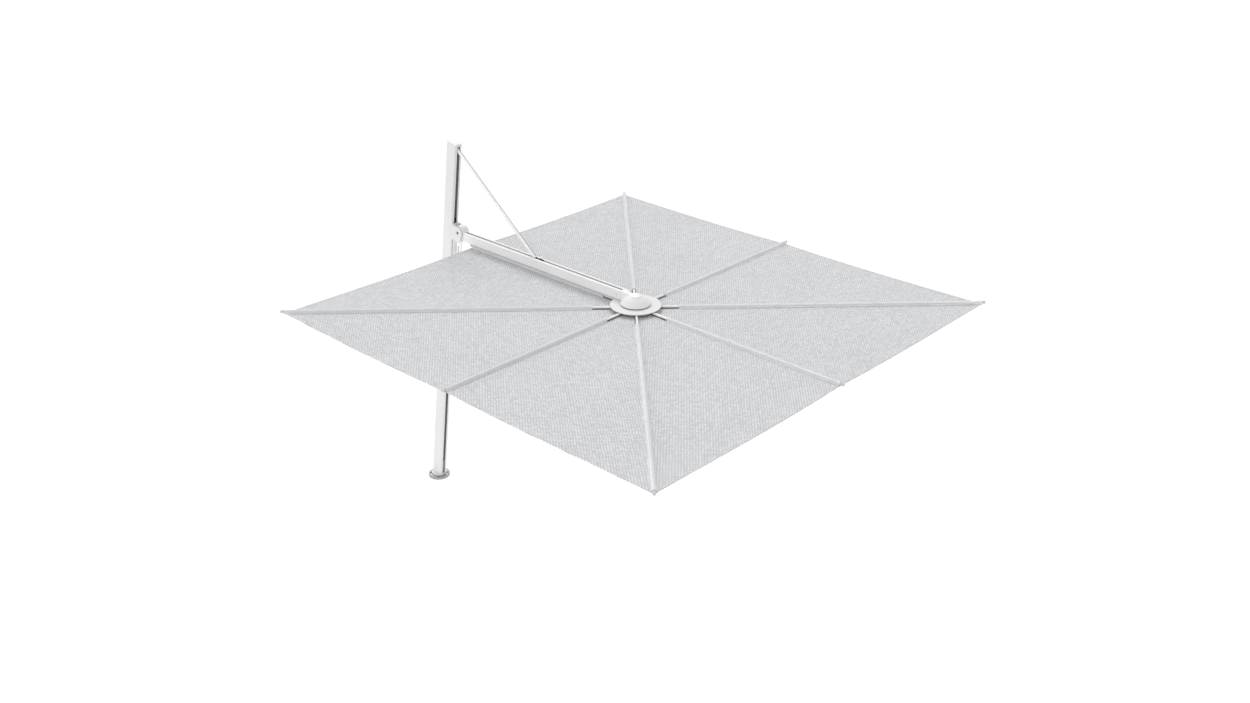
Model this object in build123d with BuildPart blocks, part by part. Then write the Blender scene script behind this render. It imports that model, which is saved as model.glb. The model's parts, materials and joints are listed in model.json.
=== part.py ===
"""Cantilever parasol: leaning side mast, sliding carriage, strut-held arm, square canopy.

Millimetres. The origin is the centre of the foot flange's underside, +Z is up and +X
runs from the mast to the canopy. The parasol is modelled open. Mast parts are drawn in
the mast's own frame: s along the mast from the origin, n square to it, towards the canopy.
"""
import os
from math import asin, cos, hypot, radians, sin, tan

from build123d import *

os.makedirs("parts", exist_ok=True)

# ---------------------------------------------------------------- driving dimensions
CANOPY_SIDE = 3000.0        # side of the square cloth
CLOTH_TOP = 2012.0          # height of the cloth's upper face
CLOTH_THICKNESS = 1.5
HUB_X = 2044.0              # the canopy's centre, ahead of the foot
RIB_COUNT = 8

MAST_LEAN = 8.6             # degrees from upright, towards the canopy
MAST_LENGTH = 2750.0        # along s, to the top of the cap
MAST_DEPTH = 92.0           # along n
MAST_WIDTH = 60.0           # along Y
MAST_WALL = 3.0
MAST_CORNER = 10.0
SLOT_WIDTH = 23.0
MAST_START = 38.0           # s of the profile's lower end
CAP_THICKNESS = 18.0

PIVOT_S = 2135.0            # the arm's pivot, in the mast's frame
PIVOT_N = 112.0
STAY_TOP_S = 2720.0         # the strut's upper pivot, in the mast's frame
STAY_TOP_N = 18.0

ARM_HEIGHT = 62.5
ARM_WIDTH = 52.0
ARM_DROP = 21.5             # the arm's centre line runs this far below its pivot
GROOVE_WIDTH = 20.0
GROOVE_DEPTH = 48.0
STAY_FOOT_X = 743.0         # the strut's foot, from the arm's pivot
STAY_FOOT_Z = 0.0
STAY_WIDTH = 14.0           # along Y, inside the groove and the mast's slot
STAY_HEIGHT = 18.0

FLANGE_RADIUS = 80.0
FLANGE_THICKNESS = 20.0
BOLT_CIRCLE = 128.0         # diameter
BOLT_COUNT = 4
BOLT_HOLE = 5.5             # radius
SPIGOT_RADIUS = 20.0

DISC_RADIUS = 157.5
DOME_RADIUS = 95.0
RIB_HINGE_RADIUS = 120.0    # distance of the rib hinges from the hub's axis
ROD_RADIUS = 8.0
ROD_WALL = 2.0
RUNNING = 0.05              # radial clearance of every running fit
TIP_REACH = 20.0            # how far a rib's end cap stands out of the cloth

# ---------------------------------------------------------------- worked-out places
LEAN = radians(MAST_LEAN)
UP_MAST = Vector(sin(LEAN), 0, cos(LEAN))
AHEAD = Vector(cos(LEAN), 0, -sin(LEAN))
PIVOT = UP_MAST * PIVOT_S + AHEAD * PIVOT_N
ARM_TOP = PIVOT.Z - ARM_DROP + ARM_HEIGHT / 2
ARM_BOTTOM = ARM_TOP - ARM_HEIGHT
STAY_TOP = UP_MAST * STAY_TOP_S + AHEAD * STAY_TOP_N
STAY_FOOT = PIVOT + Vector(STAY_FOOT_X, 0, STAY_FOOT_Z)

CORE_BOTTOM = CLOTH_TOP - 3
DISC_BOTTOM = CLOTH_TOP + 23
DISC_TOP = DISC_BOTTOM + 5
RIB_HINGE_Z = CLOTH_TOP + 8
ROD_Z = CLOTH_TOP + 10
DOME_BOTTOM = DISC_TOP + 7
DOME_TOP = CLOTH_TOP + 88
TILT_X = HUB_X - 161
TILT_Z = DISC_TOP + 7.5
ARM_END_X = HUB_X - 100     # where the arm's profile stops
HALF_SIDE = CANOPY_SIDE / 2
HALF_SECTOR = 180 / RIB_COUNT

MAST = Plane(origin=(0, 0, 0), x_dir=AHEAD, z_dir=UP_MAST)
MAST_SIDE = Plane(origin=(0, 0, 0), x_dir=AHEAD, z_dir=(0, -1, 0))
ARM_SIDE = Plane(origin=PIVOT, x_dir=(1, 0, 0), z_dir=(0, -1, 0))


def write(name, part):
    """Label a finished piece and write its file."""
    part.label = name
    export_step(part, f"parts/{name}.step")


def rib_frame(index):
    """The plane at the hub's axis and at height zero whose x runs out along a rib."""
    angle = radians(index * 360 / RIB_COUNT)
    return Plane(origin=(HUB_X, 0, 0), x_dir=(cos(angle), sin(angle), 0), z_dir=(0, 0, 1))


def rib_side(index):
    """The upright plane through a rib: x runs outwards and y runs up."""
    flat = rib_frame(index)
    return Plane(origin=flat.origin, x_dir=flat.x_dir, z_dir=flat.x_dir.cross(Vector(0, 0, 1)))


def cloth_reach(index):
    """Distance from the hub's axis to the cloth's edge along a rib."""
    return HALF_SIDE * (hypot(1, 1) if index % 2 else 1)


# ---------------------------------------------------------------- foot (fixed)
WASHER = 1.0

with BuildPart() as foot_flange:
    with BuildSketch():
        Circle(FLANGE_RADIUS)
        Circle(SPIGOT_RADIUS, mode=Mode.SUBTRACT)
    extrude(amount=FLANGE_THICKNESS)
    fillet(foot_flange.edges().filter_by(GeomType.CIRCLE).sort_by(SortBy.RADIUS)[-2:], 2.5)
    with Locations((0, 0, FLANGE_THICKNESS)):
        with PolarLocations(BOLT_CIRCLE / 2, BOLT_COUNT, start_angle=45):
            CounterBoreHole(radius=BOLT_HOLE, counter_bore_radius=9, counter_bore_depth=9)
write("foot_flange", foot_flange.part)

SPIGOT_TOP = 105.0
with BuildPart() as foot_spigot:
    with BuildSketch():
        Circle(SPIGOT_RADIUS)
        Circle(SPIGOT_RADIUS - 6, mode=Mode.SUBTRACT)
    extrude(amount=SPIGOT_TOP)
    chamfer(foot_spigot.edges().group_by(Axis.Z)[-1].sort_by(SortBy.LENGTH)[-1:], 2)
write("foot_spigot", foot_spigot.part)

with BuildPart() as swivel_washer:
    with BuildSketch(Plane.XY.offset(FLANGE_THICKNESS)):
        Circle(50)
        Circle(SPIGOT_RADIUS + 0.5, mode=Mode.SUBTRACT)
    extrude(amount=WASHER)
write("swivel_washer", swivel_washer.part)

# ---------------------------------------------------------------- mast (turns on the foot)
FOOT_DISC_TOP = 30.0
PLUG_TOP_S = 135.0
with BuildPart() as mast_foot:
    with BuildSketch(Plane.XY.offset(FLANGE_THICKNESS + WASHER + 0.1)):
        Circle(53)
    extrude(amount=FOOT_DISC_TOP - FLANGE_THICKNESS - WASHER - 0.1)
    with BuildSketch(MAST.offset(MAST_START)):
        RectangleRounded(MAST_DEPTH - 4, MAST_WIDTH - 4, MAST_CORNER - 2)
    extrude(amount=-30)
    with BuildSketch(MAST.offset(MAST_START)):
        with Locations((-10, 0)):
            RectangleRounded(
                MAST_DEPTH - 2 * MAST_WALL - 20.4, MAST_WIDTH - 2 * MAST_WALL - 0.4, 1.5
            )
    extrude(amount=PLUG_TOP_S - MAST_START)
    split(bisect_by=Plane.XY.offset(FLANGE_THICKNESS + WASHER + 0.1), keep=Keep.TOP)
    with BuildSketch():
        Circle(SPIGOT_RADIUS + RUNNING)
    extrude(amount=SPIGOT_TOP + 4, mode=Mode.SUBTRACT)
write("mast_foot", mast_foot.part)

MAST_END = MAST_LENGTH - CAP_THICKNESS
with BuildPart() as mast_profile:
    with BuildSketch(MAST.offset(MAST_START)):
        RectangleRounded(MAST_DEPTH, MAST_WIDTH, MAST_CORNER)
        RectangleRounded(
            MAST_DEPTH - 2 * MAST_WALL, MAST_WIDTH - 2 * MAST_WALL, 1.0, mode=Mode.SUBTRACT
        )
        with Locations((MAST_DEPTH / 2, 0)):
            Rectangle(4 * MAST_WALL, SLOT_WIDTH, mode=Mode.SUBTRACT)
    extrude(amount=MAST_END - MAST_START)
write("mast_profile", mast_profile.part)

with BuildPart() as mast_cap:
    with BuildSketch(MAST.offset(MAST_END)):
        RectangleRounded(MAST_DEPTH, MAST_WIDTH, MAST_CORNER)
    extrude(amount=CAP_THICKNESS)
    fillet(mast_cap.faces().sort_by(Axis.Z)[-1].edges(), 5)
    with BuildSketch(MAST.offset(MAST_END)):
        with Locations((STAY_TOP_N, 12), (STAY_TOP_N, -12)):
            Rectangle(24, 6)
    extrude(amount=-(MAST_END - STAY_TOP_S + 12))
    with BuildSketch(Plane(origin=STAY_TOP, x_dir=AHEAD, z_dir=(0, -1, 0))):
        Circle(4)
    extrude(amount=30, both=True, mode=Mode.SUBTRACT)
write("mast_cap", mast_cap.part)

with BuildPart() as stay_pin:
    with BuildSketch(Plane(origin=STAY_TOP, x_dir=AHEAD, z_dir=(0, -1, 0))):
        Circle(4)
    extrude(amount=15, both=True)
write("stay_pin", stay_pin.part)

# the block that ends the carriage's travel, clamped on the slot's lips
STOP_S = 780.0
with BuildPart() as slot_stop:
    with BuildSketch(MAST.offset(STOP_S)):
        with Locations((MAST_DEPTH / 2 - MAST_WALL / 2, 0)):
            Rectangle(MAST_WALL + 6, SLOT_WIDTH)
        with Locations((MAST_DEPTH / 2 - MAST_WALL - 4, 0)):
            Rectangle(8, 40)
    extrude(amount=24)
write("slot_stop", slot_stop.part)

# ---------------------------------------------------------------- carriage (slides down the mast)
PLATE_BACK = MAST_DEPTH / 2 + 4     # n of the yoke's rear face
PLATE_FRONT = PLATE_BACK + 10
SLIDER_LOW = PIVOT_S - 120
SLIDER_HIGH = PIVOT_S + 60
with BuildPart() as carriage_slider:
    with BuildSketch(MAST.offset(SLIDER_LOW)):
        with Locations((-2, 0)):
            Rectangle(72, 47)
        with Locations((PLATE_BACK / 2 + 10, 0)):
            Rectangle(PLATE_BACK - 20, 16)
    extrude(amount=SLIDER_HIGH - SLIDER_LOW)
    with BuildSketch(MAST.offset(SLIDER_LOW)):
        with Locations((-4, 0)):
            RectangleRounded(52, 30, 4)
    extrude(amount=SLIDER_HIGH - SLIDER_LOW, mode=Mode.SUBTRACT)
write("carriage_slider", carriage_slider.part)

PAD_THICKNESS = MAST_WIDTH / 2 - MAST_WALL - 23.5 - 0.4
with BuildPart() as glide_pads:
    for low in (SLIDER_LOW + 8, SLIDER_HIGH - 48):
        with BuildSketch(MAST.offset(low)):
            with Locations((-2, 23.5 + PAD_THICKNESS / 2), (-2, -23.5 - PAD_THICKNESS / 2)):
                Rectangle(54, PAD_THICKNESS)
        extrude(amount=40)
write("glide_pads", glide_pads.part)

CHEEK_INNER = 23.0
CHEEK_OUTER = 36.0
CHEEK_RADIUS = 40.0
EYE_RADIUS = 15.0           # the recess round the pivot pin's ends
PIN_RADIUS = 8.0
BRIDGE_TOP = -52.0          # s of the bridge under the arm's round end, from the pivot
BRIDGE_LOW = -66.0
HANDLE_LOW = -300.0         # s of the handle loop's lowest line, from the pivot
GRIP_RADIUS = 13.5
LOOP_BEND = 32.0
with BuildPart() as carriage_yoke:
    with BuildSketch(MAST_SIDE):
        with BuildLine():
            Polyline(
                (PLATE_BACK, PIVOT_S + BRIDGE_LOW),
                (PLATE_BACK, PIVOT_S + 42),
                (PLATE_BACK + 12, PIVOT_S + 42),
                (PIVOT_N, PIVOT_S + 36),
                (PIVOT_N + 34, PIVOT_S - 10),
                (PIVOT_N + 22, PIVOT_S + BRIDGE_LOW),
                close=True,
            )
        make_face()
        with Locations((PIVOT_N, PIVOT_S)):
            Circle(CHEEK_RADIUS)
    extrude(amount=CHEEK_OUTER, both=True)
    with BuildSketch(MAST_SIDE):
        with Locations((PLATE_FRONT + 100, PIVOT_S + BRIDGE_TOP + 100)):
            Rectangle(200, 200)
    extrude(amount=CHEEK_INNER, both=True, mode=Mode.SUBTRACT)
    with BuildSketch(MAST.offset(PIVOT_S + HANDLE_LOW - 12)):
        with Locations(((PLATE_BACK + PLATE_FRONT) / 2, 0)):
            RectangleRounded(PLATE_FRONT - PLATE_BACK, 36, 3)
    extrude(amount=BRIDGE_LOW - HANDLE_LOW + 12)
    with BuildSketch(Plane(origin=PIVOT, x_dir=AHEAD, z_dir=(0, -1, 0))):
        Circle(PIN_RADIUS)
    extrude(amount=CHEEK_OUTER, both=True, mode=Mode.SUBTRACT)
    for side in (-1, 1):
        with BuildSketch(
            Plane(origin=PIVOT + Vector(0, side * (CHEEK_OUTER - 4), 0), x_dir=AHEAD, z_dir=(0, side, 0))
        ):
            Circle(EYE_RADIUS)
        extrude(amount=4, mode=Mode.SUBTRACT)
write("carriage_yoke", carriage_yoke.part)

with BuildPart() as pivot_pin:
    with BuildSketch(Plane(origin=PIVOT, x_dir=AHEAD, z_dir=(0, -1, 0))):
        Circle(PIN_RADIUS)
    extrude(amount=CHEEK_OUTER - 4, both=True)
write("pivot_pin", pivot_pin.part)

with BuildPart() as handle_loop:
    with BuildLine() as loop_path:
        FilletPolyline(
            *(
                UP_MAST * (PIVOT_S + s) + AHEAD * n
                for n, s in (
                    (PIVOT_N, BRIDGE_LOW),
                    (PIVOT_N, HANDLE_LOW),
                    (PLATE_FRONT, HANDLE_LOW),
                )
            ),
            radius=LOOP_BEND,
        )
    with BuildSketch(MAST.offset(PIVOT_S + BRIDGE_LOW)):
        with Locations((PIVOT_N, 0)):
            Circle(GRIP_RADIUS)
    sweep(path=loop_path.wires()[0])
    with BuildSketch(MAST.offset(PIVOT_S - 186)):
        with Locations((PIVOT_N - GRIP_RADIUS + 2, 0)):
            Rectangle(18, 14)
    extrude(amount=72, mode=Mode.SUBTRACT)
write("handle_loop", handle_loop.part)

# the release key inside the handle, pressed towards the grip
with BuildPart() as latch_trigger:
    with BuildSketch(MAST.offset(PIVOT_S - 184)):
        with Locations((PIVOT_N - GRIP_RADIUS - 1, 0)):
            RectangleRounded(10, 13, 2)
    extrude(amount=68)
write("latch_trigger", latch_trigger.part)

# ---------------------------------------------------------------- arm (turns on the carriage)
ARM_START_X = 52.0          # from the pivot to the profile's end face
ARM_SKIN = 2.2
CHAMBER_WIDTH = (ARM_WIDTH - GROOVE_WIDTH) / 2 - 2 * ARM_SKIN
CHAMBER_HEIGHT = ARM_HEIGHT - 2 * ARM_SKIN
CHAMBER_Y = (ARM_WIDTH + GROOVE_WIDTH) / 4
ARM_SECTION = Plane(
    origin=(PIVOT.X, 0, PIVOT.Z - ARM_DROP), x_dir=(0, 1, 0), z_dir=(1, 0, 0)
)
TILT_SIDE = Plane(origin=(TILT_X, 0, TILT_Z), x_dir=(1, 0, 0), z_dir=(0, -1, 0))
TILT_PIN = 3.0
LUG_HALF = 8.0              # half the width of the tilt hinge's lug
with BuildPart() as arm_profile:
    with BuildSketch(ARM_SECTION.offset(ARM_START_X)):
        RectangleRounded(ARM_WIDTH, ARM_HEIGHT, 4)
        with Locations((0, ARM_HEIGHT / 2 - GROOVE_DEPTH / 2)):
            Rectangle(GROOVE_WIDTH, GROOVE_DEPTH, mode=Mode.SUBTRACT)
        with Locations((CHAMBER_Y, 0), (-CHAMBER_Y, 0)):
            Rectangle(CHAMBER_WIDTH, CHAMBER_HEIGHT, mode=Mode.SUBTRACT)
    extrude(amount=ARM_END_X - PIVOT.X - ARM_START_X)
    with BuildSketch(TILT_SIDE):
        with Locations((7.5, -1)):
            Rectangle(41, 14)
    extrude(amount=LUG_HALF + 0.4, both=True, mode=Mode.SUBTRACT)
    with BuildSketch(TILT_SIDE):
        Circle(TILT_PIN + RUNNING)
    extrude(amount=ARM_WIDTH / 2, both=True, mode=Mode.SUBTRACT)
write("arm_profile", arm_profile.part)

PIVOT_END_RADIUS = 48.0
with BuildPart() as arm_pivot_end:
    with BuildSketch(ARM_SIDE):
        Circle(PIVOT_END_RADIUS)
        with BuildLine():
            Polyline(
                (32, 32),
                (ARM_START_X, ARM_TOP - PIVOT.Z),
                (ARM_START_X, ARM_BOTTOM - PIVOT.Z),
                (12, -44),
                close=True,
            )
        make_face()
        Circle(PIN_RADIUS + RUNNING, mode=Mode.SUBTRACT)
    extrude(amount=22, both=True)
    with BuildSketch(ARM_SECTION.offset(ARM_START_X)):
        with Locations((CHAMBER_Y, 0), (-CHAMBER_Y, 0)):
            Rectangle(CHAMBER_WIDTH - 0.4, CHAMBER_HEIGHT - 0.4)
    extrude(amount=60)
write("arm_pivot_end", arm_pivot_end.part)

SHELL = 5.0
NECK_START = ARM_END_X - HUB_X
DOME_SIDE = Plane(origin=(HUB_X, 0, 0), x_dir=(1, 0, 0), z_dir=(0, -1, 0))


def dome_outline(radius, top):
    """Half the section of a spherical cap of this radius at its rim."""
    rise = top - DOME_BOTTOM
    ball = (radius**2 + rise**2) / (2 * rise)
    half = asin(radius / ball) / 2
    Line((0, DOME_BOTTOM), (radius, DOME_BOTTOM))
    ThreePointArc(
        (radius, DOME_BOTTOM), (ball * sin(half), top - ball + ball * cos(half)), (0, top)
    )
    Line((0, top), (0, DOME_BOTTOM))


with BuildPart() as arm_dome:
    with BuildSketch(DOME_SIDE):
        with BuildLine():
            dome_outline(DOME_RADIUS, DOME_TOP)
        make_face()
    revolve(axis=Axis((HUB_X, 0, 0), (0, 0, 1)))
    with BuildSketch(DOME_SIDE):
        with BuildLine():
            Polyline(
                (NECK_START, ARM_BOTTOM),
                (NECK_START, ARM_TOP),
                (-28, DOME_TOP - 1),
                (-28, DOME_BOTTOM),
                (NECK_START + 20, ARM_BOTTOM),
                close=True,
            )
        make_face()
    extrude(amount=ARM_WIDTH / 2, both=True)
    with BuildSketch(DOME_SIDE):
        with BuildLine():
            dome_outline(DOME_RADIUS - SHELL, DOME_TOP - SHELL)
        make_face()
    revolve(axis=Axis((HUB_X, 0, 0), (0, 0, 1)), mode=Mode.SUBTRACT)
    with BuildSketch(ARM_SECTION.offset(ARM_END_X - PIVOT.X)):
        with Locations((CHAMBER_Y, 0), (-CHAMBER_Y, 0)):
            Rectangle(CHAMBER_WIDTH - 0.4, CHAMBER_HEIGHT - 0.4)
    extrude(amount=-40)
write("arm_dome", arm_dome.part)

with BuildPart() as dome_cap:
    with BuildSketch(Plane.XY.offset(DOME_TOP)):
        with Locations((HUB_X, 0)):
            Circle(26)
    extrude(amount=3)
    chamfer(dome_cap.edges().group_by(Axis.Z)[-1], 1.5)
write("dome_cap", dome_cap.part)

# ---------------------------------------------------------------- strut (hangs in the mast's head)
STAY_RUN = STAY_FOOT - STAY_TOP
STAY_SIDE = Plane(origin=STAY_TOP, x_dir=STAY_RUN.normalized(), z_dir=(0, -1, 0))
SHOE_RADIUS = 8.0
STAY_EYE = 10.0
with BuildPart() as stay_bar:
    with BuildSketch(STAY_SIDE):
        Circle(STAY_EYE)
        with Locations((STAY_RUN.length / 2 - 7, 0)):
            Rectangle(STAY_RUN.length - 14, STAY_HEIGHT)
        Circle(4 + RUNNING, mode=Mode.SUBTRACT)
    extrude(amount=STAY_WIDTH / 2, both=True)
write("stay_bar", stay_bar.part)

with BuildPart() as stay_shoe:
    with BuildSketch(STAY_SIDE):
        with Locations((STAY_RUN.length - 7, 0)):
            Rectangle(14, STAY_HEIGHT - 2)
        with Locations((STAY_RUN.length, 0)):
            Circle(SHOE_RADIUS)
    extrude(amount=GROOVE_WIDTH / 2 - 0.6, both=True)
write("stay_shoe", stay_shoe.part)

# ---------------------------------------------------------------- head (tilts on the arm)
CORE_RADIUS = RIB_HINGE_RADIUS + 12
TONGUE_WIDTH = 18.0
with BuildPart() as hub_disc:
    with BuildSketch(Plane.XY.offset(DISC_BOTTOM)):
        with Locations((HUB_X, 0)):
            Circle(DISC_RADIUS)
    extrude(amount=DISC_TOP - DISC_BOTTOM)
    fillet(hub_disc.edges().group_by(Axis.Z)[-1], 2.5)
    with Locations((HUB_X, 0, DISC_TOP)):
        with PolarLocations(60, 4, start_angle=45):
            Hole(3)
write("hub_disc", hub_disc.part)

with BuildPart() as hub_core:
    with BuildSketch(Plane.XY.offset(CORE_BOTTOM)):
        with Locations((HUB_X, 0)):
            Circle(CORE_RADIUS)
            Circle(22, mode=Mode.SUBTRACT)
            with PolarLocations(RIB_HINGE_RADIUS + 5, RIB_COUNT):
                Rectangle(44, TONGUE_WIDTH + 0.6, mode=Mode.SUBTRACT)
            with PolarLocations(60, 4, start_angle=45):
                Circle(3, mode=Mode.SUBTRACT)
    extrude(amount=DISC_BOTTOM - CORE_BOTTOM)
    for rib in range(RIB_COUNT):
        hinge = rib_side(rib)
        with BuildSketch(hinge):
            with Locations((RIB_HINGE_RADIUS, RIB_HINGE_Z)):
                Circle(3)
        extrude(amount=17, both=True, mode=Mode.SUBTRACT)
write("hub_core", hub_core.part)

with BuildPart() as rib_pins:
    for rib in range(RIB_COUNT):
        with BuildSketch(rib_side(rib)):
            with Locations((RIB_HINGE_RADIUS, RIB_HINGE_Z)):
                Circle(3)
        extrude(amount=17, both=True)
write("rib_pins", rib_pins.part)

with BuildPart() as hub_screws:
    with BuildSketch(Plane.XY.offset(CORE_BOTTOM + 4)):
        with Locations((HUB_X, 0)):
            with PolarLocations(60, 4, start_angle=45):
                Circle(3)
    extrude(amount=DISC_TOP - CORE_BOTTOM - 4)
    with BuildSketch(Plane.XY.offset(DISC_TOP)):
        with Locations((HUB_X, 0)):
            with PolarLocations(60, 4, start_angle=45):
                Circle(6)
    extrude(amount=4)
write("hub_screws", hub_screws.part)

with BuildPart() as hub_cover:
    with BuildSketch(Plane.XY.offset(CORE_BOTTOM)):
        with Locations((HUB_X, 0)):
            Circle(98)
    extrude(amount=-9)
    fillet(hub_cover.edges().group_by(Axis.Z)[0], 6)
write("hub_cover", hub_cover.part)

with BuildPart() as tilt_bracket:
    with BuildSketch(TILT_SIDE):
        Circle(5)
        with Locations((13, (DISC_TOP - TILT_Z - 1.5) / 2)):
            Rectangle(26, TILT_Z - DISC_TOP - 1.5)
        Circle(TILT_PIN, mode=Mode.SUBTRACT)
    extrude(amount=LUG_HALF, both=True)
write("tilt_bracket", tilt_bracket.part)

with BuildPart() as tilt_pin:
    with BuildSketch(TILT_SIDE):
        Circle(TILT_PIN)
    extrude(amount=ARM_WIDTH / 2, both=True)
write("tilt_pin", tilt_pin.part)

# ---------------------------------------------------------------- ribs (fold down from the head)
CRADLE_START = RIB_HINGE_RADIUS + 18
CRADLE_END = 265.0
CRADLE_WIDTH = 22.0
CRADLE_BOTTOM = CLOTH_TOP + 0.5
CRADLE_TOP = CLOTH_TOP + 5.5
ROD_START = CRADLE_START + 4
CLOTH_START = 140.0
SEAM_GAP = 0.4

for rib in range(RIB_COUNT):
    flat = rib_frame(rib)
    upright = rib_side(rib)
    across = Plane(origin=flat.origin, x_dir=flat.y_dir, z_dir=flat.x_dir)
    reach = cloth_reach(rib)

    with BuildPart() as rib_cradle:
        with BuildSketch(upright):
            with Locations((RIB_HINGE_RADIUS, RIB_HINGE_Z)):
                Circle(7.5)
            with Locations(((RIB_HINGE_RADIUS + CRADLE_START + 2) / 2, RIB_HINGE_Z - 2)):
                Rectangle(CRADLE_START + 2 - RIB_HINGE_RADIUS, 11)
        extrude(amount=TONGUE_WIDTH / 2, both=True)
        with BuildSketch(flat.offset(CRADLE_BOTTOM)):
            with Locations(((CRADLE_START + CRADLE_END) / 2, 0)):
                RectangleRounded(CRADLE_END - CRADLE_START, CRADLE_WIDTH, 5)
        extrude(amount=CRADLE_TOP - CRADLE_BOTTOM)
        with BuildSketch(across.offset(ROD_START)):
            with Locations((0, ROD_Z)):
                Circle(ROD_RADIUS)
                with Locations((0, ROD_RADIUS)):
                    Rectangle(2 * ROD_RADIUS, 2 * ROD_RADIUS)
        extrude(amount=CRADLE_END, mode=Mode.SUBTRACT)
        with BuildSketch(upright):
            with Locations((RIB_HINGE_RADIUS, RIB_HINGE_Z)):
                Circle(3 + RUNNING)
        extrude(amount=TONGUE_WIDTH, both=True, mode=Mode.SUBTRACT)
    write(f"rib_cradle_{rib + 1}", rib_cradle.part)

    with BuildPart() as rib_rod:
        with BuildSketch(across.offset(ROD_START)):
            with Locations((0, ROD_Z)):
                Circle(ROD_RADIUS)
                Circle(ROD_RADIUS - ROD_WALL, mode=Mode.SUBTRACT)
        extrude(amount=reach + TIP_REACH - 8 - ROD_START)
    write(f"rib_rod_{rib + 1}", rib_rod.part)

    with BuildPart() as rib_cap:
        with BuildSketch(across.offset(reach - 15)):
            with Locations((0, ROD_Z)):
                Circle(ROD_RADIUS + 1.5)
        extrude(amount=TIP_REACH + 15)
        fillet(rib_cap.edges().filter_by(GeomType.CIRCLE), 2)
        with BuildSketch(across.offset(reach - 15)):
            with Locations((0, ROD_Z)):
                Circle(ROD_RADIUS)
        extrude(amount=TIP_REACH + 15 - 8, mode=Mode.SUBTRACT)
    write(f"rib_cap_{rib + 1}", rib_cap.part)

    corner = [(reach, 0)] if rib % 2 else []
    spread = tan(radians(HALF_SECTOR))
    with BuildPart() as canopy_panel:
        with BuildSketch(flat.offset(CLOTH_TOP - CLOTH_THICKNESS)):
            with BuildLine():
                Polyline(
                    (CLOTH_START, -CLOTH_START * spread),
                    (HALF_SIDE, -HALF_SIDE * spread),
                    *corner,
                    (HALF_SIDE, HALF_SIDE * spread),
                    (CLOTH_START, CLOTH_START * spread),
                    close=True,
                )
            make_face()
            offset(amount=-SEAM_GAP, kind=Kind.INTERSECTION)
        extrude(amount=CLOTH_THICKNESS)
    write(f"canopy_panel_{rib + 1}", canopy_panel.part)

print("strut length", round(STAY_RUN.length, 1), "arm pivot", PIVOT, "strut top", STAY_TOP)
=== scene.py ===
"""A cantilever parasol, open, on a pale studio floor. Metres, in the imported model's own frame."""

import json
from math import atan2, cos, hypot, pi, radians, sin, sqrt, tan

import bmesh
import bpy
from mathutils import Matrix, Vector, noise


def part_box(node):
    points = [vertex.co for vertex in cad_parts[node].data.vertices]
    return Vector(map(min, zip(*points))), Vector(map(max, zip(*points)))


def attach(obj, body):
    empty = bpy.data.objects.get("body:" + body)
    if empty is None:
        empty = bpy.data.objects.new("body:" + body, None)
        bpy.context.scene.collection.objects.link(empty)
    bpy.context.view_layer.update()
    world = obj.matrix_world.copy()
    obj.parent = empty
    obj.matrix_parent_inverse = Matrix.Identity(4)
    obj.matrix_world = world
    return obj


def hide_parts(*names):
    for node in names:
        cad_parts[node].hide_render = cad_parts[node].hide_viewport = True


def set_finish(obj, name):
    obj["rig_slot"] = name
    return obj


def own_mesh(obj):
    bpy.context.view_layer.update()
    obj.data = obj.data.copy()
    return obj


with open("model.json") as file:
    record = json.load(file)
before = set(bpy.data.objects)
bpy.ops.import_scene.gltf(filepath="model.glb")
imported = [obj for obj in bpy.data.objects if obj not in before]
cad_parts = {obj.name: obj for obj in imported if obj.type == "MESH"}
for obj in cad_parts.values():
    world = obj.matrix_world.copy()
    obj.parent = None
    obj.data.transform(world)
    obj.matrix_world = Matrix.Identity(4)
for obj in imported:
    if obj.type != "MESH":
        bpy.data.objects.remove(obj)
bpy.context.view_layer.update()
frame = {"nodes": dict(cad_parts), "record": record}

# ---------------------------------------------------------------- places read from the frame
RIBS = 8
HALF_SECTOR = pi / RIBS
MM = 0.001


def middle(node):
    """The centre of a node's box."""
    low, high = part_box(node)
    return (Vector(low) + Vector(high)) / 2


HUB = middle("hub_disc")
DISC_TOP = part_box("hub_disc")[1][2]
CLOTH_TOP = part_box("canopy_panel_1")[1][2]
HALF_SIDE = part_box("canopy_panel_1")[1][0] - HUB.x + 0.4 * MM
CORE_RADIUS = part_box("hub_core")[1][0] - HUB.x
CLOTH_INNER = CORE_RADIUS + 0.8 * MM
ROD_Z = middle("rib_rod_1").z
ROD_RADIUS = (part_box("rib_rod_1")[1][2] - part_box("rib_rod_1")[0][2]) / 2
CRADLE_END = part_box("rib_cradle_1")[1][0] - HUB.x
ARM_LOW, ARM_HIGH = (Vector(corner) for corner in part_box("arm_profile"))
DOME_LOW, DOME_HIGH = (Vector(corner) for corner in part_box("arm_dome"))
DOME_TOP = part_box("dome_cap")[0][2]
MAST_LEAN = radians(8.6)
UP_MAST = Vector((sin(MAST_LEAN), 0, cos(MAST_LEAN)))
AHEAD = Vector((cos(MAST_LEAN), 0, -sin(MAST_LEAN)))
PIVOT = middle("pivot_pin")
STAY_FOOT_X = middle("stay_shoe").x
CAP_FOOT = 2.7315            # along the mast, just under the cap's rim


def rib_angle(index):
    """Direction of a rib from the hub, 0 along +X."""
    return index * 2 * HALF_SECTOR


def rib_out(index):
    return Vector((cos(rib_angle(index)), sin(rib_angle(index)), 0))


def rib_left(index):
    return Vector((-sin(rib_angle(index)), cos(rib_angle(index)), 0))


def cloth_reach(index):
    """Distance from the hub's axis to the cloth's edge along a rib."""
    return HALF_SIDE * (sqrt(2) if index % 2 else 1)


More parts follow.
